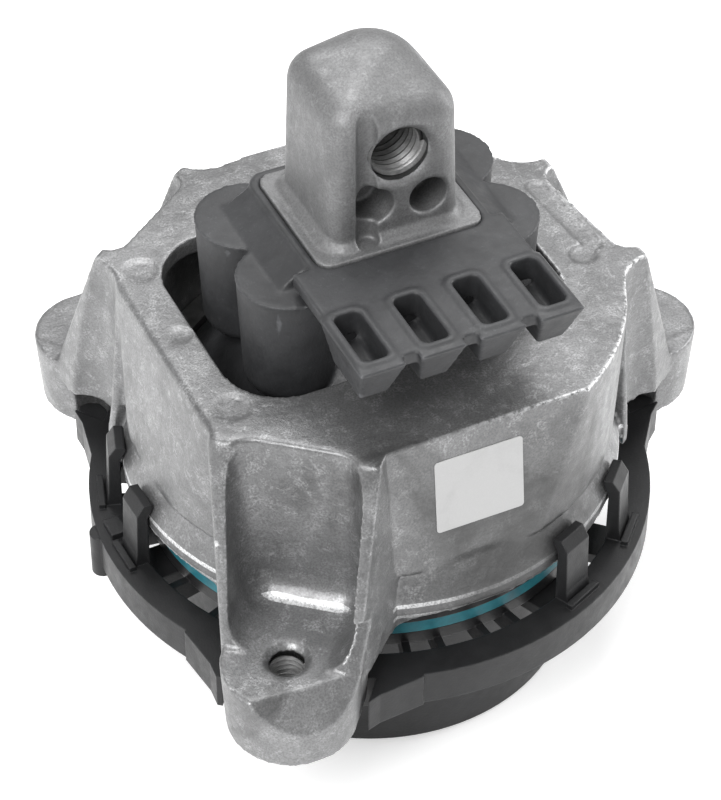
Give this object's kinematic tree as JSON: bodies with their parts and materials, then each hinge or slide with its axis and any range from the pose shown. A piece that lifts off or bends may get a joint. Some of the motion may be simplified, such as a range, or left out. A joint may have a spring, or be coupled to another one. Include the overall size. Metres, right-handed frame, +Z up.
{
  "type": "hydraulic engine mount",
  "caption": "Hydraulic engine mount: cast housing with threaded feet, threaded core block in a rubber spring with a bump stop flap, clip-on cover over the fluid chamber.",
  "frame": {"origin": "mount's axis at the underside of the bottom cover's cup, the plane it stands on", "axes": "+Z up along the mount's axis, +Y away from the core block's threaded face, +X to the right seen from that face"},
  "size_m": [0.1411, 0.1335, 0.1448],
  "materials": {
    "housing_cast": "as cast",
    "core_cast": "as cast",
    "spring_rubber": "matte",
    "ring_steel": "matte",
    "plate_plastic": "matte",
    "membrane_rubber": "matte",
    "bellows_rubber": "matte",
    "cover_plastic": "satin",
    "label_paper": "matte"
  },
  "bodies": {
    "root": {"housing": "housing_cast", "core_block": "core_cast", "rubber_spring": "spring_rubber", "spring_ring": "ring_steel", "nozzle_plate_upper": "plate_plastic", "nozzle_plate_lower": "plate_plastic", "decoupler_membrane": "membrane_rubber", "bellows": "bellows_rubber", "bottom_cover": "cover_plastic", "label": "label_paper"}
  },
  "joints": []
}
